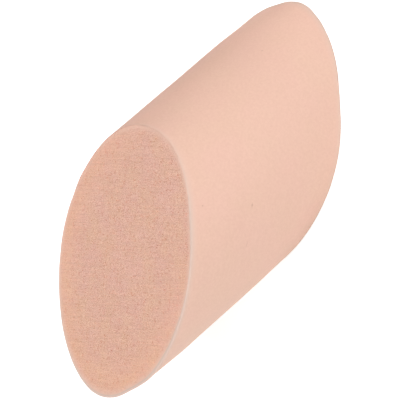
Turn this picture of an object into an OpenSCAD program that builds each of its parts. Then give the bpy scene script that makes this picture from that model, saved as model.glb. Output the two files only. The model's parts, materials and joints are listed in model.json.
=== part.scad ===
// Makeup sponge: a round foam rod with both ends cut on the same slant.
// It stands on one slanted cut, so both cuts are level and the rod leans towards +X.
// The origin lies on the resting face, straight below the middle of the block.

/* [Rod] */
// Diameter of the foam rod, over its skin
rod_d = 35; // [24:0.5:60]
// Length along the rod's axis, from one cut to the other
cut_spacing = 36; // [24:0.5:90]
// Slant of both cuts, measured from a square cut
cut_slant = 40.5; // [0:0.5:50]

/* [Skin] */
// Thickness of the smooth skin round the side
skin_t = 0.5; // [0.2:0.05:2]

/* [Rims] */
// Radius that both rims are softened to
rim_r = 0.25; // [0.1:0.05:1.5]

/* [Smoothness] */
// Flats round each softened rim
rim_flats = 96; // [48:8:160]
// Flats round the ball that softens the rims
ball_flats = 20; // [16:4:32]

/* [Hidden] */

// Overrun that carries every cut clear of the faces it makes
overrun = rod_d / 10;

// Radius of the rod, and of the open foam inside its skin
rod_r = rod_d / 2;
core_r = rod_r - skin_t;
// Height between the two level cuts
block_h = cut_spacing * cos(cut_slant);
// Length of a rod that runs past both cuts, wherever the slant takes them
rod_l = cut_spacing + rod_d * tan(cut_slant) + 2 * overrun;
// Width of the level slab that trims the rod, wider than the leaning rod at both cuts
slab_w = rod_l + rod_d;

// The ball that rolls round the rims is this much larger than their radius,
// so that its flats lie just outside the true rod and the true cuts, which trim them away
ball_over_share = 1.03;

// Shades of the cut foam and of the skin
foam_colour = [0.88, 0.69, 0.60];
skin_colour = [0.95, 0.79, 0.71];

// A rod of any radius on the leaning axis, longer than the block at both ends
module leaning_rod(r) {
    translate([0, 0, block_h / 2])
        rotate([0, cut_slant, 0])
            cylinder(h = rod_l, r = r, center = true, $fn = rim_flats);
}

// The space between two level cuts, each drawn in by the same amount
module between_cuts(draw_in) {
    slab_h = block_h - 2 * draw_in;
    translate([0, 0, block_h / 2])
        cube([slab_w, slab_w, slab_h], center = true);
}

// A thinner, shorter block rolled round with a ball, which gives
// the acute and the blunt side of each rim the same radius
module rolled_block() {
    roll_r = (rod_r - rim_r) / cos(180 / rim_flats);
    minkowski() {
        intersection() {
            leaning_rod(roll_r);
            between_cuts(rim_r);
        }
        sphere(r = rim_r * ball_over_share, $fn = ball_flats);
    }
}

// The whole sponge, cut by the true rod and the true cuts, with its rims softened
module soft_block() {
    intersection() {
        leaning_rod(rod_r);
        between_cuts(0);
        rolled_block();
    }
}

// Open-celled foam, bare at both cuts
module foam_core() {
    color(foam_colour)
        intersection() {
            soft_block();
            leaning_rod(core_r);
        }
}

// Smooth dense skin that the foam grew against its mould, all round the side
module side_skin() {
    color(skin_colour)
        difference() {
            soft_block();
            leaning_rod(core_r);
        }
}

foam_core();
side_skin();
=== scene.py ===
# %% [markdown]
# # A slant-cut makeup sponge
#
# A makeup sponge of this kind starts as a round rod of fine foam, grown in a tube. The foam that
# touches the tube closes up into a thin smooth skin. A knife then cuts the rod into blocks, and
# both cuts lie on the same slant, so the block has two oval faces of open cells and one smooth side.
#
# The CAD model holds two solids, the foam core and its skin. Here each gets the surface that the
# real one shows: opened cells on the cuts, and a soft satin side with a pale lip at its rims.
#
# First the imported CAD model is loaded. It is the frame that every new piece is built around.

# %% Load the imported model
import json
import math

import bpy
import numpy as np
from mathutils import Matrix, Vector, noise


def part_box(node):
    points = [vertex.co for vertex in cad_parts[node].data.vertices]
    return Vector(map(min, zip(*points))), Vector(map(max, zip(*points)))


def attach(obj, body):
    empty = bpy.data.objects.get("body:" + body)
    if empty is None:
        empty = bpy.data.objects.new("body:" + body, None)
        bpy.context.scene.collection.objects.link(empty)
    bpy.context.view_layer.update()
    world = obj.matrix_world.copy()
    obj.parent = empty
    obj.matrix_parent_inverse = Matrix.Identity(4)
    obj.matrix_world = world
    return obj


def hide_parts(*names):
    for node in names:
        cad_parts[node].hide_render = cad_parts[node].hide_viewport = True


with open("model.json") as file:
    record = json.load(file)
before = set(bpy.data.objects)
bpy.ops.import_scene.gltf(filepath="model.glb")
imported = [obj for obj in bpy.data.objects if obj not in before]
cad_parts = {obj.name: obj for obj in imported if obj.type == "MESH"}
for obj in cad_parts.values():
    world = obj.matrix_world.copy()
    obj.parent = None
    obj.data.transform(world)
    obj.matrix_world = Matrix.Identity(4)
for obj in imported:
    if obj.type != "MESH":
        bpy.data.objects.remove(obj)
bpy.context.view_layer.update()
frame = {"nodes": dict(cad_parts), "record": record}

print("CAD nodes:", sorted(frame["nodes"]))

# %% [markdown]
# ## Sizes
#
# Nothing is measured twice. The rod's radius, the block's height and the slant of its cuts are
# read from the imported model, so the pieces stay in step with the CAD.

# %% Read the block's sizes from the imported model
MM = 0.001

skin_low, skin_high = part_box("side_skin")
core_low, core_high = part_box("foam_core")
mount_at = {m["name"]: Vector(m["pos_m"]) for m in frame["record"]["mounts"]}
cut_to_cut = mount_at["working_face"] - mount_at["resting_face"]

ROD_R = (skin_high.y - skin_low.y) / 2
CORE_R = (core_high.y - core_low.y) / 2
BLOCK_H = skin_high.z - skin_low.z
SLANT = math.atan2(cut_to_cut.x, cut_to_cut.z)
CUT_X = BLOCK_H / 2 * math.tan(SLANT)  # how far each oval cut sits from the middle
MIDDLE = Vector((0, 0, BLOCK_H / 2))
AXIS = Vector((math.sin(SLANT), 0, math.cos(SLANT)))

# Two directions square to the rod. An angle round it starts at +Y and turns towards its upper side.
ACROSS = Vector((0, 1, 0))
UPWARD = AXIS.cross(ACROSS)

print(f"rod radius {ROD_R / MM:.2f} mm, core radius {CORE_R / MM:.2f} mm")
print(f"block height {BLOCK_H / MM:.2f} mm, slant {math.degrees(SLANT):.2f} degrees")

# %% [markdown]
# ## Camera
#
# A camera that looks along a chosen line, turned about that line, is easiest to place by its three
# axes. The photograph was taken from about half a metre away with a long lens, nearly on its side
# as seen from this frame, so the camera's own up direction is given too.

# %% Place the camera
CAMERA_AT = Vector((-0.06819, 0.37691, 0.33209))
CAMERA_LOOK = Vector((0.13756, -0.75608, -0.63986)).normalized()
CAMERA_UP = Vector((-0.97689, -0.21023, 0.03855))
LENS_MM = 265.66
SENSOR_MM = 36.0
CLIP_NEAR = 0.05              # metres from the camera at which it starts to see
CLIP_FAR = 5.0                # and at which it stops

camera_right = CAMERA_LOOK.cross(CAMERA_UP).normalized()
camera_top = camera_right.cross(CAMERA_LOOK)
camera_axes = Matrix((camera_right, camera_top, -CAMERA_LOOK)).transposed().to_4x4()

camera = bpy.data.objects.new("camera", bpy.data.cameras.new("camera"))
camera.data.lens = LENS_MM
camera.data.sensor_width = SENSOR_MM
camera.data.clip_start = CLIP_NEAR
camera.data.clip_end = CLIP_FAR
camera.matrix_world = Matrix.Translation(CAMERA_AT) @ camera_axes
bpy.context.scene.collection.objects.link(camera)
bpy.context.scene.camera = camera
print("camera distance in mm:", round((CAMERA_AT - MIDDLE).length / MM, 1))

# %% [markdown]
# ## Helpers for working as by hand
#
# An operator acts on all that is selected, so each step starts with one piece taken up alone. In
# edit mode the wanted vertices, edges or faces are picked by where they lie.

# %% Helpers for picking up pieces and parts of them
PARTS = ("vertices", "edges", "polygons")
SEED_STEP = (7.1, 3.3, 5.7)   # how far apart two seeds read the noise


def take_up(piece):
    """Leaves edit mode and makes one piece the only one selected."""
    if bpy.context.mode != "OBJECT":
        bpy.ops.object.mode_set(mode="OBJECT")
    bpy.ops.object.select_all(action="DESELECT")
    if piece is not None:
        piece.select_set(True)
        bpy.context.view_layer.objects.active = piece


def name_new(name):
    """Names the primitive that was just added."""
    piece = bpy.context.object
    piece.name = piece.data.name = name
    return piece


def edit(piece, kind, chosen):
    """Opens a piece in edit mode with only the chosen vertices, edges or polygons selected."""
    take_up(piece)
    for part in PARTS:
        items = getattr(piece.data, part)
        items.foreach_set("select", np.zeros(len(items), bool))
    getattr(piece.data, kind).foreach_set("select", np.asarray(chosen, bool))
    bpy.context.tool_settings.mesh_select_mode = [part == kind for part in PARTS]
    bpy.ops.object.mode_set(mode="EDIT")


def points_of(piece):
    """All vertex places of a piece, one row each."""
    places = np.empty(len(piece.data.vertices) * 3)
    piece.data.vertices.foreach_get("co", places)
    return places.reshape(-1, 3)


def move_points(piece, places):
    """Puts every vertex of a piece at its new place, as a sculptor's hand would."""
    piece.data.vertices.foreach_set("co", np.asarray(places, np.float32).ravel())
    piece.data.update()


def edge_ends(piece):
    """The two vertex numbers of each edge."""
    ends = np.empty(len(piece.data.edges) * 2, np.int32)
    piece.data.edges.foreach_get("vertices", ends)
    return ends.reshape(-1, 2)


def open_edges(piece):
    """True for each edge that has only one face."""
    corners = np.empty(len(piece.data.loops), np.int32)
    piece.data.loops.foreach_get("edge_index", corners)
    return np.bincount(corners, minlength=len(piece.data.edges)) == 1


def keep_value(piece, name, values):
    """Stores one number per vertex, which a material can read by name."""
    store = piece.data.attributes.new(name, "FLOAT", "POINT")
    store.data.foreach_set("value", np.asarray(values, np.float32))


def soft_noise(places, size, seed):
    """Smooth noise from -1 to 1 at each place, with lumps of about the given size."""
    shift = Vector([seed * step for step in SEED_STEP])
    return np.array([noise.noise(Vector(p) / size + shift) for p in places])


def ease(value):
    """A soft step from 0 to 1."""
    value = np.clip(value, 0, 1)
    return value * value * (3 - 2 * value)


# %% [markdown]
# ## Places on the rod
#
# Every surface of the sponge lies round one leaning axis, so a place is easiest to think of as a
# distance from that axis, an angle round it and a height above the resting cut. The first helper
# reads a place that way, and the second puts it back. A step outwards by the second one stays at
# its height, so both cuts stay level whatever is done to their rims.

# %% Helpers for places on the rod
def rod_place(places):
    """Distance from the rod's axis, angle round it and height above the resting cut."""
    from_middle = places - np.array(MIDDLE)
    x = from_middle @ np.array(ACROSS)
    y = from_middle @ np.array(UPWARD)
    return np.hypot(x, y), np.arctan2(y, x), places[:, 2]


def on_rod(radius, angle, height):
    """The place at a distance from the rod's axis, an angle round it and a height."""
    out = np.outer(np.cos(angle), ACROSS) + np.outer(np.sin(angle), UPWARD)
    places = np.array(MIDDLE) + out * np.reshape(radius, (-1, 1))
    along = (height - places[:, 2]) / AXIS.z
    return places + np.outer(along, AXIS)


def read_round(angle, table):
    """Reads a table of angles in degrees and values at any angle, all the way round the rod."""
    degrees, values = zip(*table)
    return np.interp(np.degrees(angle), degrees, values, period=360)


# %% [markdown]
# ## The lips
#
# Beside each cut a narrow strip of the skin's own thickness shows, the lip. Foam gives way before a
# knife, so the lip is wide on one side and next to nothing on the other. The resting cut is the
# working cut given half a turn, so one table of widths does for both, with its angles reversed.

# %% Widths of the lips
# Angle round the rod in degrees, width of the lip in mm
LIP_WIDTHS = (
    (-170, 0.32),
    (-110, 0.42),
    (-82, 0.45),
    (-60, 0.50),
    (-37, 0.60),
    (-15, 0.42),
    (0, 0.20),
    (24, 0.35),
    (41, 0.12),
    (75, 0.06),
    (150, 0.05),
    (165, 0.20),
)


def lip_width(angle):
    """Width of the skin that shows beside the working cut."""
    return read_round(angle, LIP_WIDTHS) * MM


lip_mm = [width for _, width in LIP_WIDTHS]
print(f"lips from {min(lip_mm)} to {max(lip_mm)} mm wide")

# %% [markdown]
# ## The skin: a thin soft tube
#
# The skin is a tube that leans with the rod. It starts as an open cylinder, Solidify gives it its
# wall, two bisects make the level cuts, and bridging closes the narrow rings between its outside
# and its bore.

# %% Values of the skin
AROUND = 440                  # points round the rod
ROWS = 96                     # rows added between the two cuts
BORE_ROWS = 10                # rows added on the hidden inside
LIP_R = 0.30 * MM             # how far the rounding of a rim reaches from its edge
LIP_STEPS = 5
SKIN_T = ROD_R - CORE_R
ROD_LONG = 4 * ROD_R + BLOCK_H
CUT_TOLERANCE = 1e-7
SIDE_TOLERANCE = 0.01 * MM
print(f"skin {SKIN_T / MM:.2f} mm thick, cut from a tube {ROD_LONG / MM:.0f} mm long")

# %% Cut a leaning tube out of a cylinder
take_up(None)
bpy.ops.mesh.primitive_cylinder_add(
    vertices=AROUND,
    radius=ROD_R,
    depth=ROD_LONG,
    end_fill_type="NOTHING",
    location=MIDDLE,
    rotation=(0, SLANT, 0),
)
skin = name_new("smooth_foam_skin")
bpy.ops.object.transform_apply(location=True, rotation=True, scale=True)
wall = skin.modifiers.new("wall", "SOLIDIFY")
wall.thickness = SKIN_T
wall.offset = -1
bpy.ops.object.modifier_apply(modifier="wall")

edit(skin, "polygons", np.ones(len(skin.data.polygons)))
bpy.ops.mesh.bisect(
    plane_co=(0, 0, 0), plane_no=(0, 0, 1), clear_inner=True, threshold=CUT_TOLERANCE
)
edit(skin, "polygons", np.ones(len(skin.data.polygons)))
bpy.ops.mesh.bisect(
    plane_co=(0, 0, BLOCK_H), plane_no=(0, 0, 1), clear_outer=True, threshold=CUT_TOLERANCE
)
take_up(skin)


def edge_middles(piece):
    """The middle of each edge, and the way it runs."""
    ends = points_of(piece)[edge_ends(piece)]
    return ends.mean(1), ends[:, 1] - ends[:, 0]


for level in (0, BLOCK_H):
    middles, _ = edge_middles(skin)
    edit(skin, "edges", open_edges(skin) & (np.abs(middles[:, 2] - level) < BLOCK_H / 4))
    bpy.ops.mesh.bridge_edge_loops()
    take_up(skin)
print("tube faces:", len(skin.data.polygons), "open edges:", open_edges(skin).sum())

# %% [markdown]
# Foam gives way before the knife and springs back rounded, so the outer rim of each cut is bevelled
# in a few even steps. The inner edges stay sharp, because the core meets the skin there.

# %% Round the outer rims
middles, ways = edge_middles(skin)
radius, _, _ = rod_place(middles)
level = np.abs(ways[:, 2]) < CUT_TOLERANCE
edit(skin, "edges", level & (radius > ROD_R - SKIN_T / 4))
bpy.ops.mesh.bevel(offset=LIP_R, segments=LIP_STEPS, profile=0.5, affect="EDGES")
take_up(skin)
print("tube faces with rounded rims:", len(skin.data.polygons))

# %% [markdown]
# Seen from the side of a rim, the skin now has a profile of seven points: down from the side, over
# the rounding and in to the bore. Each profile is drawn along its own line until it ends at the
# width that the lip has there. A narrow lip so loses its flat part first, then some of its rounding.

# %% Draw each lip to its own width
places = points_of(skin)
radius, angle, height = rod_place(places)
column = np.round(angle / (2 * math.pi) * AROUND).astype(int) % AROUND
upper = height > BLOCK_H / 2
profiles = np.lexsort((-radius, upper, column)).reshape(AROUND, 2, LIP_STEPS + 2)

for profile in profiles.reshape(-1, LIP_STEPS + 2):
    line = places[profile]
    line = np.vstack([line, 2 * line[-1] - line[-2]])
    depth_in = ROD_R - rod_place(line)[0]
    run = np.concatenate([[0], np.cumsum(np.linalg.norm(np.diff(line, axis=0), axis=1))])
    turn = angle[profile[0]] if upper[profile[0]] else -angle[profile[0]]
    stops = np.linspace(0, np.interp(lip_width(turn), depth_in, run), LIP_STEPS + 2)
    places[profile] = np.column_stack([np.interp(stops, run, line[:, k]) for k in range(3)])
move_points(skin, places)
bore_edges = profiles[:, :, -1]
print("lip profiles:", profiles.shape[:2], "points each:", profiles.shape[2])

# %% [markdown]
# So far each face of the side runs from cut to cut, and such a long one can't follow a swelling.
# Rows of points are laid across them. The bore gets fewer, because nothing of it is seen.

# %% Lay rows along the side and the bore
for rows_added, is_side in ((ROWS, True), (BORE_ROWS, False)):
    middles, ways = edge_middles(skin)
    radius, _, _ = rod_place(middles)
    long_edge = np.linalg.norm(ways, axis=1) > BLOCK_H / 2
    edit(skin, "edges", long_edge & ((radius > ROD_R - SIDE_TOLERANCE) == is_side))
    bpy.ops.mesh.subdivide_edgering(number_cuts=rows_added, interpolation="LINEAR", smoothness=0)
    take_up(skin)
print("skin triangles:", sum(len(p.vertices) - 2 for p in skin.data.polygons))

# %% [markdown]
# ## Softness
#
# A real foam skin isn't a turned surface. It swells and sinks by a few hundredths of a millimetre.
# Foam also gives way before a knife and springs back after it, so no rim is a true oval: each swells
# or draws in by up to half a millimetre, and wavers a little where the knife dragged. All of this
# pushes points straight out from the rod or in, with noise for the side and a short table of gentle
# bumps for each rim, because a bump can be set just where the real rim has it.

# %% Swellings of the side and the rims
SOFT_SWELL = 0.05 * MM        # how far the side swells and sinks
SOFT_SIZE = 6.0 * MM
SOFT_SEED = 21
RIM_WAVER = 0.06 * MM         # how far the rims stray
RIM_WAVER_SIZE = 2.6 * MM
WAVER_SEED = 22
WAVER_REACH = 0.12            # the share of the height over which a rim's waver fades
LIP_SHARE = 0.03              # inside points nearer to a cut than this share belong to the lip

# Angle round the rod in degrees, push outwards in mm, half width of the swelling in degrees
WORKING_SWELLS = (
    (-156, -0.10, 18),
    (-97, 0.13, 16),
    (-64, -0.55, 12),
    (24, -0.13, 14),
    (67, 0.52, 16),
    (109, 0.08, 15),
    (177, 0.22, 14),
)
RESTING_SWELLS = (
    (80, 0.46, 14),
    (106, -0.46, 14),
    (-2, 0.54, 14),
    (23, -0.20, 10),
    (47, 0.18, 12),
    (-43, -0.20, 12),
)
SWELL_REACH = 0.30            # the share of the height over which they fade


def swelling(angle, table):
    """How far a rim stands out at an angle."""
    push = np.zeros(len(angle))
    for degrees, amount, half_width in table:
        gap = (np.degrees(angle) - degrees + 180) % 360 - 180
        push += amount * MM * np.exp(-0.5 * (gap / half_width) ** 2)
    return push


places = points_of(skin)
radius, angle, height = rod_place(places)
share = height / BLOCK_H
to_rim = np.minimum(share, 1 - share)
in_bore = (radius < ROD_R - SIDE_TOLERANCE) & (to_rim > LIP_SHARE)

push = SOFT_SWELL * soft_noise(places, SOFT_SIZE, SOFT_SEED)
rim_waver = RIM_WAVER * soft_noise(places, RIM_WAVER_SIZE, WAVER_SEED)
push += rim_waver * (1 - ease(to_rim / WAVER_REACH))
push += swelling(angle, WORKING_SWELLS) * (1 - ease((1 - share) / SWELL_REACH))
push += swelling(angle, RESTING_SWELLS) * (1 - ease(share / SWELL_REACH))
print(f"the skin is pushed by {push.min() / MM:.2f} to {push.max() / MM:.2f} mm")

# %% [markdown]
# Here and there a bubble under the skin burst while the foam grew, and left a tiny pit. On a fine
# enough mesh a pit is a few points pressed in, which needs no cut. Most are nearly round, a few are
# drawn out round the rod, and the strength of each sets how deep it is and how dark its floor is
# painted, painted shade in the pit.

# %% Press in the burst bubbles
BUBBLE_DEEP = 0.22 * MM       # depth of a pit of strength 1
BUBBLE_REACH = 1.6            # a pit eases out at this many times its half size

# Angle round the rod in degrees, share of the height, half length and half width in mm, strength
BURST_BUBBLES = (
    (29.7, 0.916, 0.17, 0.18, 0.65),
    (11.8, 0.597, 0.34, 0.18, 0.70),
    (75.6, 0.319, 0.17, 0.18, 0.60),
    (68.8, 0.256, 0.14, 0.16, 0.40),
    (81.3, 0.154, 0.14, 0.16, 0.30),
    (-5.0, 0.597, 0.60, 0.16, 0.45),
    (-4.4, 0.635, 0.20, 0.16, 0.35),
    (30.9, 0.477, 0.14, 0.16, 0.35),
    (60.4, 0.570, 0.14, 0.16, 0.30),
    (152.0, 0.420, 0.16, 0.18, 0.60),
    (-118.0, 0.700, 0.16, 0.18, 0.70),
    (-162.0, 0.330, 0.14, 0.16, 0.50),
    (-75.0, 0.480, 0.15, 0.18, 0.60),
)

burst = np.zeros(len(places))
for turn, burst_share, half_long, half_wide, strength in BURST_BUBBLES:
    turn_gap = (angle - math.radians(turn) + math.pi) % (2 * math.pi) - math.pi
    gap_round = turn_gap * ROD_R
    gap_along = (share - burst_share) * BLOCK_H / math.cos(SLANT)
    # a pit is centred on the nearest point of the mesh, so that none is lost between two rows
    nearest = np.argmin(np.hypot(gap_round, gap_along) + in_bore * ROD_R)
    gap_round -= gap_round[nearest]
    gap_along -= gap_along[nearest]
    far = np.hypot(gap_round / (half_long * MM), gap_along / (half_wide * MM))
    burst = np.maximum(burst, strength * (1 - ease(far / BUBBLE_REACH)) * ~in_bore)
push -= BUBBLE_DEEP * burst

radius = np.where(in_bore, radius, radius + push)
move_points(skin, on_rod(radius, angle, height))
print("burst bubbles:", len(BURST_BUBBLES), "points pressed in:", int((burst > 0).sum()))

# %% [markdown]
# The bore follows the lips: at a cut it starts from the lip's inner edge, and within a few
# millimetres it eases to the radius that it has in the CAD model. The foam core will use the same
# rule for its side, so the two pieces meet all the way down.

# %% Ease the bore from the lips to its true radius
BORE_FADE = 4.0 * MM

edge_radius, edge_angle, edge_height = (
    part.reshape(AROUND, 2) for part in rod_place(points_of(skin)[bore_edges.ravel()])
)


def gather_rows(height):
    """Moves evenly spaced rows closer to the two cuts."""
    return BLOCK_H / 2 * (1 - np.cos(math.pi * np.clip(height / BLOCK_H, 0, 1)))


def bore_radius(angle, height):
    """Radius of the skin's bore at an angle and a height."""
    result = np.full(len(angle), CORE_R)
    for cut, distance in ((0, height), (1, BLOCK_H - height)):
        at_cut = np.interp(angle, edge_angle[:, cut], edge_radius[:, cut], period=2 * math.pi)
        result += (at_cut - CORE_R) * (1 - ease(distance / BORE_FADE))
    return result


places = points_of(skin)
radius, angle, height = (part[in_bore] for part in rod_place(places))
height = gather_rows(height)
places[in_bore] = on_rod(bore_radius(angle, height), angle, height)
move_points(skin, places)
print("points of the bore:", int(in_bore.sum()))

# %% [markdown]
# The finish changes from place to place, and a mesh can carry such facts as one number per point.
# The skin is paler beside a cut, partly its own colour and partly painted shade and sheen where the
# rounded rim turns from the cut to the side. Near the resting cut it has painted light over the
# sharp tip, and painted shade beside that, where the light falls off over the rim. Round the whole
# rod it
# goes slowly from pinker to paler: painted shade on the upper side, which turns away from the light,
# and a painted reflection of the white floor on the low side.

# %% Keep what the skin's finish needs to know
LIP_FROM = 0.10 * MM          # the lip's colour starts to fade at this distance from the cut
LIP_FADE = 0.45 * MM
LIP_SHOWS = 0.25 * MM         # a lip narrower than this pales less
PALE_REACH = 1.7 * MM         # how far down the side the paling goes
TIP_REACH = 18.0 * MM         # how far up the rod the tip's lightness goes
SMOOTH_UNDER = math.radians(60)

# Angle round the rod in degrees, how much the skin pales beside the cut, partly its own colour and
# partly painted shade and sheen of the rounded rim, from 0 to 1
PALE_SHADED_EDGE = (
    (-170, 1.0),
    (-60, 0.9),
    (-20, 0.8),
    (10, 1.0),
    (35, 0.9),
    (60, 0.3),
    (80, 0.0),
    (150, 0.0),
)

# Angle round the rod in degrees, painted light and shade near the resting cut: 1 is lightest, -1
# deepest
PAINTED_TIP_TONE = (
    (-40, 0.0),
    (-20, -0.2),
    (5, -0.25),
    (30, -0.2),
    (50, 0.0),
    (75, 0.6),
    (90, 1.0),
    (130, 1.0),
    (165, 0.0),
)

# Angle round the rod in degrees, how warm the skin's colour is painted: 1 is pinkest, painted shade
# on the upper side that turns from the light, -1 palest, a painted reflection of the white floor on
# the low side
SIDE_SHADE_AND_SHEEN = (
    (-165, 0.4),
    (-110, -0.4),
    (-70, -1.0),
    (-50, -1.0),
    (-35, -0.8),
    (-20, -0.5),
    (-5, -0.35),
    (10, -0.1),
    (40, 0.0),
    (65, 0.15),
    (85, 0.35),
    (100, 0.85),
    (115, 0.4),
    (150, 0.6),
)

_, angle, height = rod_place(points_of(skin))
from_rest = height / math.cos(SLANT)
from_cut = np.minimum(height, BLOCK_H - height) / math.cos(SLANT)
turn = np.where(height > BLOCK_H / 2, angle, -angle)
lip_fade = 1 - ease((from_cut - LIP_FROM) / LIP_FADE)
keep_value(skin, "lip", lip_fade * np.clip(lip_width(turn) / LIP_SHOWS, 0, 1))
# paler beside the cut: partly the skin's own colour, partly painted shade and sheen of the rounded
# rim
keep_value(skin, "pale_edge", (1 - ease(from_cut / PALE_REACH)) * read_round(turn, PALE_SHADED_EDGE))
# the depth of each pit, which also sets its painted shade
keep_value(skin, "burst", burst)
# painted shade on the rod's upper side and a painted reflection of the white floor on its low side
keep_value(skin, "warmth", read_round(angle, SIDE_SHADE_AND_SHEEN))
# painted light over the resting cut's sharp tip and painted shade beside it
keep_value(skin, "tip_tone", (1 - ease(from_rest / TIP_REACH)) * read_round(angle, PAINTED_TIP_TONE))

take_up(skin)
bpy.ops.object.shade_smooth_by_angle(angle=SMOOTH_UNDER)
low, high = points_of(skin).min(0), points_of(skin).max(0)
print("skin box in mm:", (low / MM).round(2), (high / MM).round(2))

# %% [markdown]
# ## The foam core: a sheet of opened cells
#
# A knife that passes through foam opens every bubble in its way. What is left is a net of thin
# walls, each loop of it with a pit behind. The net is the pattern that soap bubbles make, and it
# grows out of a grid in a few steps: rows of a grid are shifted by half a step and split into even
# triangles, every point is nudged a little, and then each corner is cut off at a third of its
# edges. Cutting the corners turns every point and every triangle into a cell of five to seven
# sides. Each cell is then poked, and its new middle point is pressed into the foam.

# %% Values of the opened foam
CELL = 0.33 * MM              # from the middle of one cell to the next
KNOT = CELL * math.sqrt(3)    # step of the grid, whose every knot makes three cells
NUDGE = 0.30                  # how far a knot strays, as a share of the step
CORNER_SHARE = 33.33          # how much of each edge a cut corner takes, in percent
PIT = 0.12 * MM               # how deep an ordinary cell is pressed in
BIG_CELL_SHARE = 0.09         # the largest cells, which are hollowed wider and show dark
FACE_SINK = 0.02 * MM         # the cut foam lies this far under the skin's lip
CORE_OVERLAP = 0.015 * MM     # the core's rim reaches this far under the lip
TRIM_BACK = 0.3               # a cell goes if its middle is nearer than this to the oval, in cells
SPARE = 4                     # rows and columns beyond the oval, which the strays need
FOAM_SEED = 11

luck = np.random.default_rng(FOAM_SEED)
print(f"cells {CELL / MM:.2f} mm apart, ordinary pits {PIT / MM:.2f} mm deep")

# %% Grow the net of cell walls
SHEET_R = CORE_R + CORE_OVERLAP
face_long = 2 * SHEET_R / math.cos(SLANT)
face_wide = 2 * SHEET_R
row_step = KNOT * math.sqrt(3) / 2
columns = math.ceil(face_long / KNOT) + SPARE
rows = math.ceil(face_wide / row_step) + SPARE

take_up(None)
bpy.ops.mesh.primitive_grid_add(x_subdivisions=columns, y_subdivisions=rows, size=1)
foam = name_new("open_cell_foam")

places = points_of(foam)
column_of = np.round((places[:, 0] + 0.5) * columns)
row_of = np.round((places[:, 1] + 0.5) * rows)
strays = luck.uniform(-NUDGE, NUDGE, (len(places), 2)) * KNOT
places[:, 0] = (column_of - columns / 2 + 0.5 * (row_of % 2)) * KNOT + strays[:, 0]
places[:, 1] = (row_of - rows / 2) * row_step + strays[:, 1]
move_points(foam, places)

edit(foam, "polygons", np.ones(len(foam.data.polygons)))
bpy.ops.mesh.quads_convert_to_tris(quad_method="SHORTEST_DIAGONAL")
bpy.ops.mesh.beautify_fill()
bpy.ops.mesh.bevel(offset_type="PERCENT", offset_pct=CORNER_SHARE, affect="VERTICES")
take_up(foam)
print("cells before trimming:", len(foam.data.polygons))

# %% [markdown]
# The net is still a rectangle. A knife or a boolean would leave slivers of cells along the oval, so
# whole cells go instead: those whose middle lies outside, or within a third of a cell of the oval.

# %% Trim the net to the oval of the cut
OVAL = np.array([face_long / 2, face_wide / 2])


def of_cells(piece, kind, width):
    """The center, normal or area of each polygon, one row each."""
    numbers = np.empty(len(piece.data.polygons) * width)
    piece.data.polygons.foreach_get(kind, numbers)
    return numbers.reshape(-1, width)


def oval_share(places):
    """How far out each place lies on the oval cut: 0 in its middle, 1 on its border."""
    return np.hypot(places[:, 0] / OVAL[0], places[:, 1] / OVAL[1])


outside = oval_share(of_cells(foam, "center", 3)) > 1 - TRIM_BACK * CELL / ROD_R
edit(foam, "polygons", outside)
bpy.ops.mesh.delete(type="FACE")
take_up(foam)
print("cells on a cut:", len(foam.data.polygons))

# %% [markdown]
# The ragged border that stays is drawn out to the oval. Moved straight outwards, some of its points
# would cross over and fold a cell. So each border point goes towards the middle of its two
# neighbours and then out to the oval, a few times over, which spaces them evenly.

# %% Draw the border out to the oval
EVENING_ROUNDS = 8

places = points_of(foam)
border_edges = edge_ends(foam)[open_edges(foam)]
border = np.unique(border_edges)
for _ in range(EVENING_ROUNDS):
    beside = np.zeros_like(places)
    np.add.at(beside, border_edges[:, 0], places[border_edges[:, 1]])
    np.add.at(beside, border_edges[:, 1], places[border_edges[:, 0]])
    places[border] = (places[border] + beside[border] / 2) / 2
    places[border, :2] /= oval_share(places[border])[:, None]
move_points(foam, places)
facing_up = of_cells(foam, "normal", 3)[:, 2]
print("border points:", len(border), "folded cells:", int((facing_up < 0).sum()))

# %% [markdown]
# Inset works on each of the largest cells alone: it leaves a thin wall and sinks the rest as a
# floor. Then poke gives every cell that still lies level a middle point, pressed in by the depth of
# a pit. The steep walls of the large cells are left out, or they would be poked too.

# %% Hollow the largest cells, then press in the middle of every cell
BIG_RIM = 0.05 * MM           # wall that stays round a large cell
BIG_STEP = 0.07 * MM          # how far its floor sinks
BIG_WITHIN = 0.985            # no large cell lies further out than this share of the oval
LEVEL = 0.99                  # a face is level if its normal points up at least this much

areas = of_cells(foam, "area", 1)[:, 0]
big = areas > np.quantile(areas, 1 - BIG_CELL_SHARE)
big &= oval_share(of_cells(foam, "center", 3)) < BIG_WITHIN
wall_points = len(foam.data.vertices)
edit(foam, "polygons", big)
bpy.ops.mesh.inset(thickness=BIG_RIM, depth=-BIG_STEP, use_individual=True)
take_up(foam)
hollow_points = len(foam.data.vertices)

edit(foam, "polygons", of_cells(foam, "normal", 3)[:, 2] > LEVEL)
bpy.ops.mesh.poke(offset=-PIT, center_mode="MEDIAN_WEIGHTED")
take_up(foam)
print("big cells:", int(big.sum()), "triangles on a cut:", len(foam.data.polygons))

# %% [markdown]
# Real cells differ in depth, the walls between them are torn to uneven heights, and the knife
# leaves long shallow waves across the face. Most cells are cut near their tops and stay shallow.
# Only a few are caught at their widest. Points were added in three steps, so their numbers tell what
# they are: first the walls, then the floors of the large cells, then the pressed-in middles.

# %% Give every cell its own depth
SHALLOWEST = 0.45             # the shallowest pit, as a share of an ordinary one
WALL_TEAR = 0.03 * MM         # how much the wall tops differ in height
KNIFE_WAVE = 0.025 * MM       # height of the knife's waves
KNIFE_ALONG = 9.0 * MM        # length of a wave along the knife's way
KNIFE_ACROSS = 0.9 * MM       # width of a wave across it
KNIFE_DEGREES = 102           # direction in which the knife moved, from +X
KNIFE_SEED = 3

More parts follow.
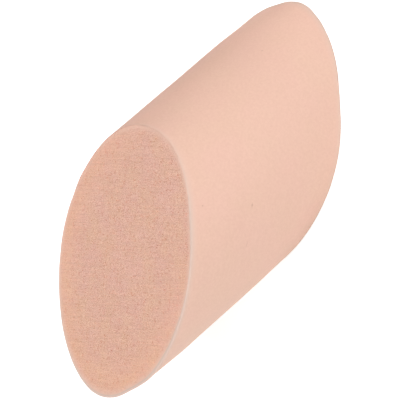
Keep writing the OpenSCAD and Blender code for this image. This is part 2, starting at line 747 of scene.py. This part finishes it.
knife_way = math.radians(KNIFE_DEGREES)
flat = points_of(foam)
count = len(flat)
is_wall = np.arange(count) < wall_points
is_middle = np.arange(count) >= hollow_points
is_hollow = ~is_wall & ~is_middle
depth = -flat[:, 2]
is_big = is_middle & (depth > PIT + BIG_STEP / 2)
luck_of = luck.uniform(0, 1, count)
depth[is_middle] = PIT * (SHALLOWEST + (1 - SHALLOWEST) * luck_of[is_middle] ** 2)
depth[is_big] += BIG_STEP
depth[is_wall] = WALL_TEAR * luck_of[is_wall] ** 2

along = flat[:, :2] @ np.array([math.cos(knife_way), math.sin(knife_way)])
across = flat[:, :2] @ np.array([-math.sin(knife_way), math.cos(knife_way)])
waves = np.column_stack([along / KNIFE_ALONG, across / KNIFE_ACROSS, np.zeros(count)])
depth -= KNIFE_WAVE * np.minimum(soft_noise(waves, 1.0, KNIFE_SEED), 0)
print(f"deepest cell {depth.max() / MM:.3f} mm, mean {depth[is_middle].mean() / MM:.3f} mm")

# %% [markdown]
# The deeper a cell, the less light comes out of it, so its middle keeps a share of darkness for the
# finish. It also keeps a lucky number, by which the finish picks the few cells that look redder.

# %% Keep each cell's darkness and luck
PIT_DARK = 0.06               # darkness of the shallowest pit
PIT_DARKER = 0.24             # and how much the deepest one adds
BIG_DARK = 0.25               # the same for the large cells
BIG_DARKER = 0.25
HOLLOW_DARK = 0.15            # darkness at the foot of a large cell's wall
NO_LUCK = 0.5

dark = np.zeros(count)
dark[is_middle] = PIT_DARK + PIT_DARKER * luck_of[is_middle] ** 2
dark[is_big] = BIG_DARK + BIG_DARKER * luck_of[is_big]
dark[is_hollow] = HOLLOW_DARK
keep_value(foam, "cell_dark", dark)
keep_value(foam, "cell_luck", np.where(is_middle, luck.uniform(0, 1, count), NO_LUCK))
print(f"mean darkness {dark[is_middle].mean():.2f}, large cells among the pits:", int(is_big.sum()))

# %% [markdown]
# Beside the rim the foam is painted a shade lighter and warmer on most sides, painted light that
# stands in for light coming through the foam's thin edge. Towards the sharp tip the block thins out,
# and light that comes through it is warmer.

# %% Mark the rim's painted light and the thin tip
RIM_BAND = 6.5 * MM
THIN_FROM = 6.0 * MM          # the warmth starts this far from the middle of the cut
THIN_OVER = 16.0 * MM         # and is full this much further on

# Angle round the rod in degrees, how much painted light the rim gets, from 0 to 1
RIM_PAINTED_LIGHT = (
    (-180, 1.0),
    (-150, 0.9),
    (-120, 0.6),
    (-90, 0.5),
    (-60, 1.0),
    (-30, 0.8),
    (0, 0.6),
    (30, 0.0),
    (90, 0.0),
    (120, 0.8),
    (150, 0.8),
)

keep_value(foam, "thin_foam", ease((flat[:, 0] - THIN_FROM) / THIN_OVER))
flat[:, 2] = BLOCK_H
flat[:, 0] += CUT_X
flat_radius, flat_angle, _ = rod_place(flat)
near_rim = 1 - ease((SHEET_R - flat_radius) / RIM_BAND)
rim_light_share = near_rim * read_round(flat_angle, RIM_PAINTED_LIGHT)
# painted light along the rim, standing in for light that comes through the foam's thin edge
keep_value(foam, "rim_band", rim_light_share)
print("points in the squeezed band:", int((rim_light_share > 0).sum()), "of", count)

# %% [markdown]
# The resting cut is the same kind of face, turned over. The sheet is copied with its own mesh, and
# each of the two is stretched to its own rim: its border goes just under the lip, at the lip's own
# height, and the cells beside it round off to meet it. Right beside the skin the cells are smaller
# and denser, so each sheet also keeps how near the skin is, and the finish paints the foam paler
# there: partly its own colour, partly painted light that lifts the shade in the crevice by the lip.
# Then the copy is given half a turn.

# %% Copy the sheet and fit each one to its rim
STRETCH_FROM = 0.8            # the share of the radius at which stretching starts
ROUND_OFF = 0.40 * MM         # width over which the foam rounds off to the rim
FLUSH_BAND = 0.25 * MM        # beside the rim the foam is flush with the lip over this width
UNDER_LIP = 0.4               # it reaches under the lip by no more than this share of its width
DENSE_BAND = 0.9 * MM         # the foam pales over this width beside its skin
DENSE_CURVE = 1.2             # and by this power, fastest at the skin


def fit_to_rim(sheet, rim_angle, rim_radius, rim_drop):
    """Stretches a sheet to a rim, of which the angle, radius and depth under the cut are given."""
    border_radius = np.interp(flat_angle, rim_angle, rim_radius, period=2 * math.pi)
    border_drop = np.interp(flat_angle, rim_angle, rim_drop, period=2 * math.pi)
    overlap = np.minimum(CORE_OVERLAP, UNDER_LIP * lip_width(flat_angle))
    border_radius += overlap
    stretch = ease((flat_radius / SHEET_R - STRETCH_FROM) / (1 - STRETCH_FROM))
    radius = flat_radius * (1 + (border_radius / SHEET_R - 1) * stretch)
    from_border = border_radius - radius
    # the finish paints the foam paler here, partly its own colour and partly painted light that
    # lifts the crevice's shade
    keep_value(sheet, "near_skin", np.clip(1 - from_border / DENSE_BAND, 0, 1) ** DENSE_CURVE)
    rounding = np.clip(1 - from_border / ROUND_OFF, 0, 1) ** 2
    places = on_rod(radius, flat_angle, BLOCK_H - border_drop * rounding)
    inside = ease(from_border / FLUSH_BAND)
    places[:, 2] -= overlap + (FACE_SINK - overlap + depth) * inside
    move_points(sheet, places)


take_up(foam)
bpy.ops.object.duplicate()
resting_sheet = bpy.context.object
fit_to_rim(foam, edge_angle[:, 1], edge_radius[:, 1], BLOCK_H - edge_height[:, 1])
fit_to_rim(resting_sheet, -edge_angle[:, 0], edge_radius[:, 0], edge_height[:, 0])
edit(resting_sheet, "vertices", np.ones(count))
bpy.ops.transform.rotate(value=math.pi, orient_axis="Y", center_override=MIDDLE)
take_up(None)
for sheet in (foam, resting_sheet):
    print(sheet.name, "lies at", round(points_of(sheet)[:, 2].mean() / MM, 2), "mm")

# %% [markdown]
# The two sheets become one piece when their borders are bridged, which also closes the core's side.
# The points of the new rows then follow the bore of the skin, so the core fills it all the way. The
# borders are marked sharp, so that smooth shading doesn't smear the cut into the side.

# %% Join the sheets and close the core's side
CORE_ROWS = 6

take_up(foam)
resting_sheet.select_set(True)
bpy.ops.object.join()
edit(foam, "edges", open_edges(foam))
bpy.ops.mesh.mark_sharp()
bpy.ops.mesh.bridge_edge_loops(number_cuts=CORE_ROWS)
take_up(foam)

places = points_of(foam)
on_side = slice(2 * count, None)
_, angle, height = (part[on_side] for part in rod_place(places))
height = gather_rows(height)
places[on_side] = on_rod(bore_radius(angle, height), angle, height)
move_points(foam, places)
bpy.ops.object.shade_smooth(keep_sharp_edges=True)

low, high = places.min(0), places.max(0)
print("core triangles:", sum(len(p.vertices) - 2 for p in foam.data.polygons))
print("core box in mm:", (low / MM).round(2), (high / MM).round(2))
print("open edges of the core:", open_edges(foam).sum())

# %% [markdown]
# ## Finishes
#
# Both finishes read Object coordinates, which lie in the mesh itself, so the patterns stay put from
# every side. Colours are written as a painter would mix them from a chart, from 0 to 255, and are
# turned into the linear values that the shader works with. A tone is a multiplier for red, green and
# blue, laid over a colour by MULTIPLY. It may be above 1, so no layer but the last may be clamped.

# %% Helpers for mixing finishes
FOAM_SPECULAR = 0.2           # foam mirrors little
NOISE_LOW = 0.30              # nearly all of a noise lies between these two
NOISE_HIGH = 0.70
PLAIN = 1                     # octaves of a noise with plain, even lumps
UNEVEN = 3                    # and of one with finer lumps on its lumps
DRIFT_LOW = 0.35              # a slow drift shows its first colour pure below this
DRIFT_HIGH = 0.65             # and its second above this


def shade(red, green, blue):
    """A colour from a 0 to 255 chart as the shader's linear colour."""
    chart = np.array([red, green, blue]) / 255
    linear = np.where(chart <= 0.04045, chart / 12.92, ((chart + 0.055) / 1.055) ** 2.4)
    return (*linear.tolist(), 1.0)


class Finish:
    """A material with short ways to add and join its nodes."""

    def __init__(self, name):
        self.material = bpy.data.materials.new(name)
        self.material.use_nodes = True
        self.tree = self.material.node_tree
        self.shader = self.tree.nodes["Principled BSDF"]
        self.place = self.node("ShaderNodeTexCoord").outputs["Object"]

    def node(self, kind, **settings):
        """A new node with its settings made."""
        made = self.tree.nodes.new(kind)
        for name, value in settings.items():
            setattr(made, name, value)
        return made

    def join(self, source, socket):
        """Links a node's output to a socket, or sets the socket to a plain number or colour."""
        if isinstance(source, bpy.types.NodeSocket):
            self.tree.links.new(source, socket)
        else:
            socket.default_value = source

    def noise(self, size, octaves, place=None):
        """Noise from 0 to 1 with lumps of about the given size."""
        made = self.node("ShaderNodeTexNoise")
        made.inputs["Scale"].default_value = 1 / size
        made.inputs["Detail"].default_value = octaves
        self.join(place or self.place, made.inputs["Vector"])
        return made.outputs["Fac"]

    def value(self, name):
        """A number that was kept on the mesh."""
        return self.node("ShaderNodeAttribute", attribute_name=name).outputs["Fac"]

    def ramp(self, source, low, high, first=0.0, last=1.0):
        """Maps low..high of a number to first..last, and no further."""
        made = self.node("ShaderNodeMapRange")
        self.join(source, made.inputs["Value"])
        made.inputs["From Min"].default_value = low
        made.inputs["From Max"].default_value = high
        made.inputs["To Min"].default_value = first
        made.inputs["To Max"].default_value = last
        return made.outputs["Result"]

    def blend(self, share, first, second, way="MIX", clamp=False):
        """Mixes two colours by a share, or lays one over the other another way."""
        made = self.node("ShaderNodeMix", data_type="RGBA", blend_type=way, clamp_result=clamp)
        self.join(share, made.inputs[0])
        self.join(first, made.inputs[6])
        self.join(second, made.inputs[7])
        return made.outputs[2]

    def bump(self, height, strength, distance):
        """Small relief from a height between 0 and 1."""
        made = self.node("ShaderNodeBump")
        made.inputs["Strength"].default_value = strength
        made.inputs["Distance"].default_value = distance
        self.join(height, made.inputs["Height"])
        return made.outputs["Normal"]

    def give_to(self, piece, body, relief, roughness):
        """Joins colour and relief to the shader, and gives the material to a piece."""
        self.join(body, self.shader.inputs["Base Color"])
        self.join(relief, self.shader.inputs["Normal"])
        self.shader.inputs["Roughness"].default_value = roughness
        self.shader.inputs["Specular IOR Level"].default_value = FOAM_SPECULAR
        piece.data.materials.append(self.material)
        print(self.material.name, "has", len(self.tree.nodes), "nodes")


# %% [markdown]
# ## The opened foam's finish
#
# Cut foam is matt. Most of a face is wall tops and shallow cells of nearly one colour, with slow
# drifts between pink and yellow. A few deep cells are darker and redder, because the light in them
# has passed through foam. The colour is built up in layers, from the foam's own to what lies on it.

# %% Colour the walls and the cells
WALL_PINK = shade(236, 188, 171)
WALL_YELLOW = shade(236, 190, 166)
CELL_COLOUR = shade(219, 151, 130)
RED_CELL_COLOUR = shade(219, 139, 105)
WALL_DRIFT = 3.5 * MM         # size of the slow drifts
RED_FROM = 0.76               # the luck from which a cell starts to look red
RED_FULL = 0.88

foam_finish = Finish("opened_foam")
drift = foam_finish.ramp(foam_finish.noise(WALL_DRIFT, UNEVEN), DRIFT_LOW, DRIFT_HIGH)
body = foam_finish.blend(drift, WALL_PINK, WALL_YELLOW)
is_red = foam_finish.ramp(foam_finish.value("cell_luck"), RED_FROM, RED_FULL)
body = foam_finish.blend(is_red, body, RED_CELL_COLOUR)
body = foam_finish.blend(foam_finish.value("cell_dark"), body, CELL_COLOUR)
print("wall colours:", np.round(WALL_PINK[:3], 3), "to", np.round(WALL_YELLOW[:3], 3))

# %% [markdown]
# The knife leaves faint streaks and a few darker lines along its way. Noise that is turned to the
# knife's way and drawn out along it gives both: a soft one all over, and a sharp one of which only
# the peaks show.

# %% Lay the knife's streaks and lines over the colour
STREAK_WIDE = 0.20 * MM
STREAK_STRETCH = 0.035        # a streak's width as a share of its length
STREAK_TONE = 0.035           # how much lighter or darker a streak is
LINE_WIDE = 0.24 * MM
LINE_STRETCH = 0.025
LINE_FROM = 0.63              # noise above this starts to show as a line
LINE_FULL = 0.73
KNIFE_LINE = (0.93, 0.90, 0.89, 1.0)

knife_turn = foam_finish.node("ShaderNodeMapping")
knife_turn.inputs["Rotation"].default_value = (0, 0, -knife_way)
foam_finish.join(foam_finish.place, knife_turn.inputs["Vector"])


def knife_noise(wide, stretch):
    """Noise drawn out along the knife's way."""
    drawn_out = foam_finish.node("ShaderNodeMapping")
    drawn_out.inputs["Scale"].default_value = (stretch, 1.0, 1.0)
    foam_finish.join(knife_turn.outputs["Vector"], drawn_out.inputs["Vector"])
    return foam_finish.noise(wide, PLAIN, place=drawn_out.outputs["Vector"])


streak = knife_noise(STREAK_WIDE, STREAK_STRETCH)
streak_tone = foam_finish.ramp(streak, NOISE_LOW, NOISE_HIGH, 1 - STREAK_TONE, 1 + STREAK_TONE)
body = foam_finish.blend(1.0, body, streak_tone, "MULTIPLY")
line_share = foam_finish.ramp(knife_noise(LINE_WIDE, LINE_STRETCH), LINE_FROM, LINE_FULL)
body = foam_finish.blend(line_share, body, KNIFE_LINE, "MULTIPLY")
print(f"knife at {KNIFE_DEGREES} degrees, streaks {STREAK_WIDE / STREAK_STRETCH / MM:.0f} mm long")

# %% [markdown]
# Between the cells that are modelled the foam has a finer grain of torn walls, light on top and dark
# below. It is weaker in the band of painted light along the rim. That band then gets its painted
# light, the thin tip gets its own tone, and right beside its skin the foam pales, partly its own
# colour and partly painted light that lifts the shade by the lip.

# %% Add the grain and the rim's painted light
GRAIN = 0.14 * MM
GRAIN_LOW = 0.26              # below the middle of the noise, so deep dark grains are few
GRAIN_HIGH = 0.62
GRAIN_DARK = (0.73, 0.50, 0.41, 1.0)
GRAIN_LIGHT = (1.148, 1.277, 1.325, 1.0)
# the band is the one along the rim that gets painted light
GRAIN_IN_BAND = 0.4           # how much of the grain stays in the squeezed band
GRAIN_DEEP = 0.02 * MM
GRAIN_RELIEF = 0.4
# painted light of the band along the rim
BAND_PAINTED_LIGHT = (1.085, 1.06, 1.01, 1.0)
THIN_WARM = (1.005, 0.995, 0.965, 1.0)
# paler foam by the skin: partly its own colour, partly painted light that lifts the crevice's shade
NEAR_SKIN_PALE_LIFT = shade(243, 204, 186)
FOAM_ROUGHNESS = 0.92

grain = foam_finish.noise(GRAIN, PLAIN)
grain_tone = foam_finish.ramp(grain, GRAIN_LOW, GRAIN_HIGH)
grain_tone = foam_finish.blend(grain_tone, GRAIN_DARK, GRAIN_LIGHT)
band = foam_finish.value("rim_band")
grain_share = foam_finish.ramp(band, 0.0, 1.0, 1.0, GRAIN_IN_BAND)
body = foam_finish.blend(grain_share, body, grain_tone, "MULTIPLY")
# painted light along the rim
body = foam_finish.blend(band, body, BAND_PAINTED_LIGHT, "MULTIPLY")
body = foam_finish.blend(foam_finish.value("thin_foam"), body, THIN_WARM, "MULTIPLY")
# partly own colour, partly painted light lifting the shade by the lip
body = foam_finish.blend(foam_finish.value("near_skin"), body, NEAR_SKIN_PALE_LIFT, clamp=True)
relief = foam_finish.bump(grain, GRAIN_RELIEF, GRAIN_DEEP)
foam_finish.give_to(foam, body, relief, FOAM_ROUGHNESS)

# %% [markdown]
# ## The skin's finish
#
# The skin is satin: smooth enough for a soft wide sheen, too soft for a highlight. It drifts slowly
# between pink and cream, with a faint fine mottling from the foam under it. Over that lie the tones
# that its points keep: the painted shade and floor reflection round the rod, the tip's painted light
# and shade, the pale edge with its painted shade and sheen, the lip itself and the painted shade on
# the floors of the burst bubbles.

# %% Mix the skin's finish
SKIN_PINK = shade(242, 199, 180)
SKIN_CREAM = shade(241, 200, 179)
SKIN_DRIFT = 6.0 * MM         # size of the slow drifts
MOTTLE = 0.40 * MM            # size of the fine mottling
MOTTLE_DARK = (0.978, 0.966, 0.960, 1.0)
MOTTLE_LIGHT = (1.022, 1.034, 1.040, 1.0)
MOTTLE_DEEP = 0.02 * MM
MOTTLE_RELIEF = 0.25
# painted shade of the upper side, and a painted reflection of the white floor on the low side
SHADED_SIDE_WARM = (1.0, 0.95, 0.94, 1.0)
FLOOR_SHEEN_COOL = (1.0, 1.05, 1.07, 1.0)
# painted light and painted shade near the resting cut's tip
TIP_PAINTED_LIGHT = (1.09, 1.09, 1.09, 1.0)
TIP_PAINTED_SHADE = (0.91, 0.91, 0.91, 1.0)
# pale edge: partly the skin's own colour, partly painted shade and sheen of the rounded rim
PALE_SHADED_COLOUR = shade(238, 204, 187)
LIP_COLOUR = shade(229, 200, 186)
# painted shade on the floors of the burst bubbles
BURST_PAINTED_SHADE = shade(196, 148, 126)
BURST_FROM = 0.2              # depth, as a share, from which a burst bubble starts to look darker
BURST_FULL = 0.9
BURST_MOST = 0.9              # how much of that colour the deepest bubble shows
SKIN_ROUGHNESS = 0.65

skin_finish = Finish("grown_skin")
drift = skin_finish.ramp(skin_finish.noise(SKIN_DRIFT, UNEVEN), DRIFT_LOW, DRIFT_HIGH)
body = skin_finish.blend(drift, SKIN_PINK, SKIN_CREAM)
mottle = skin_finish.noise(MOTTLE, UNEVEN)
mottle_share = skin_finish.ramp(mottle, NOISE_LOW, NOISE_HIGH)
mottle_tone = skin_finish.blend(mottle_share, MOTTLE_DARK, MOTTLE_LIGHT)
body = skin_finish.blend(1.0, body, mottle_tone, "MULTIPLY")
# painted shade on the upper side and a painted floor reflection on the low side
warmth = skin_finish.ramp(skin_finish.value("warmth"), -1.0, 1.0)
body = skin_finish.blend(1.0, body, skin_finish.blend(warmth, FLOOR_SHEEN_COOL, SHADED_SIDE_WARM), "MULTIPLY")
# painted light over the resting tip and painted shade beside it
tip = skin_finish.ramp(skin_finish.value("tip_tone"), -1.0, 1.0)
body = skin_finish.blend(1.0, body, skin_finish.blend(tip, TIP_PAINTED_SHADE, TIP_PAINTED_LIGHT), "MULTIPLY")
# partly own colour, partly painted shade and sheen beside the cut
body = skin_finish.blend(skin_finish.value("pale_edge"), body, PALE_SHADED_COLOUR)
body = skin_finish.blend(skin_finish.value("lip"), body, LIP_COLOUR)
# painted shade in the pits, by their depth
burst_share = skin_finish.ramp(skin_finish.value("burst"), BURST_FROM, BURST_FULL, 0.0, BURST_MOST)
body = skin_finish.blend(burst_share, body, BURST_PAINTED_SHADE)
relief = skin_finish.bump(mottle, MOTTLE_RELIEF, MOTTLE_DEEP)
skin_finish.give_to(skin, body, relief, SKIN_ROUGHNESS)

# %% [markdown]
# ## Floor, world and lamps
#
# The sponge stands on white. The floor has a glow of its own, only for the camera and for
# reflections. It is weaker near the sponge, so that the floor still takes the sponge's shadow, and
# rises to plain white further away, so that no horizon shows.

# %% Lay the floor
FLOOR_HALF = 1.5              # half the floor's side in metres
FLOOR_WHITE = (0.9, 0.9, 0.9, 1.0)
FLOOR_GLOW = 0.60             # light of its own right under the sponge
GLOW_NEAR = 0.06              # metres from the sponge at which it starts to rise
GLOW_FAR = 0.40               # and at which the floor is plain white


def seen_or_mirrored(tree):
    """1 where a ray comes from the camera, a reflection or clear material, else 0."""
    path = tree.nodes.new("ShaderNodeLightPath")
    total = path.outputs["Is Camera Ray"]
    for name in ("Is Glossy Ray", "Is Transmission Ray"):
        either = tree.nodes.new("ShaderNodeMath")
        either.operation = "MAXIMUM"
        tree.links.new(total, either.inputs[0])
        tree.links.new(path.outputs[name], either.inputs[1])
        total = either.outputs[0]
    return total


take_up(None)
bpy.ops.mesh.primitive_plane_add(size=2 * FLOOR_HALF)
floor = name_new("floor")
paint = bpy.data.materials.new("floor_paint")
paint.use_nodes = True
nodes, links = paint.node_tree.nodes, paint.node_tree.links
shader = nodes["Principled BSDF"]
shader.inputs["Base Color"].default_value = FLOOR_WHITE
shader.inputs["Roughness"].default_value = 1.0
shader.inputs["Specular IOR Level"].default_value = 0.0
shader.inputs["Emission Color"].default_value = (1, 1, 1, 1)

away = nodes.new("ShaderNodeVectorMath")
away.operation = "LENGTH"
links.new(nodes.new("ShaderNodeTexCoord").outputs["Object"], away.inputs[0])
rise = nodes.new("ShaderNodeMapRange")
rise.inputs["From Min"].default_value = GLOW_NEAR
rise.inputs["From Max"].default_value = GLOW_FAR
rise.inputs["To Min"].default_value = FLOOR_GLOW
links.new(away.outputs["Value"], rise.inputs["Value"])
glow = nodes.new("ShaderNodeMath")
glow.operation = "MULTIPLY"
links.new(rise.outputs["Result"], glow.inputs[1])
links.new(seen_or_mirrored(paint.node_tree), glow.inputs[0])
links.new(glow.outputs[0], shader.inputs["Emission Strength"])
floor.data.materials.append(paint)
print(f"floor glow {FLOOR_GLOW} near the sponge, 1 from {GLOW_FAR} m on")

# %% [markdown]
# Four soft boxes and an even light from all round show the foam at a plain level. The box above
# lights the upper cut. The one beside the camera models the side that it sees. Two low ones, one
# before the leaning tip and one behind, keep the overhanging sides from going dark. The world is
# white only for the camera and for reflections, and lights the sponge with much less.

# %% Light the world and hang the soft boxes
WORLD_LIGHT = 0.13
BOXES = (
    # name, direction from the sponge, width, height in metres, power in watts
    ("box_above", (-0.06, 0.09, 1.00), 1.00, 0.80, 8.3),
    ("box_low", (0.96, 0.20, 0.16), 1.00, 0.36, 4.6),
    ("box_side", (-0.50, 0.75, 0.40), 1.00, 0.80, 7.0),
    ("box_behind", (0.62, -0.77, 0.16), 1.00, 0.36, 4.8),
)
BOX_DISTANCE = 1.2

world = bpy.data.worlds.new("white_room")
bpy.context.scene.world = world
world.use_nodes = True
nodes, links = world.node_tree.nodes, world.node_tree.links
background = nodes["Background"]
background.inputs["Color"].default_value = (1, 1, 1, 1)
strength = nodes.new("ShaderNodeMapRange")
strength.inputs["To Min"].default_value = WORLD_LIGHT
links.new(seen_or_mirrored(world.node_tree), strength.inputs["Value"])
links.new(strength.outputs["Result"], background.inputs["Strength"])

for name, direction, box_wide, box_high, power in BOXES:
    lamp = bpy.data.lights.new(name, "AREA")
    lamp.shape = "RECTANGLE"
    lamp.size = box_wide
    lamp.size_y = box_high
    lamp.energy = power
    holder = bpy.data.objects.new(name, lamp)
    outwards = Vector(direction).normalized()
    holder.location = MIDDLE + outwards * BOX_DISTANCE
    holder.rotation_mode = "QUATERNION"
    holder.rotation_quaternion = outwards.to_track_quat("Z", "Y")
    holder.visible_camera = False
    bpy.context.scene.collection.objects.link(holder)

bpy.context.scene.view_settings.view_transform = "Standard"
print("lamps:", [box[0] for box in BOXES])

# %% [markdown]
# ## Hand the pieces over
#
# Each piece hides the CAD solid that it stands for and is attached to the body that it moves with.

for piece, node, slot in (
    (foam, "foam_core", "open_foam"),
    (skin, "side_skin", "foam_skin"),
):
    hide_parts(node)
    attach(piece, "root")
    print(piece.name, "stands for", node, "in slot", slot)
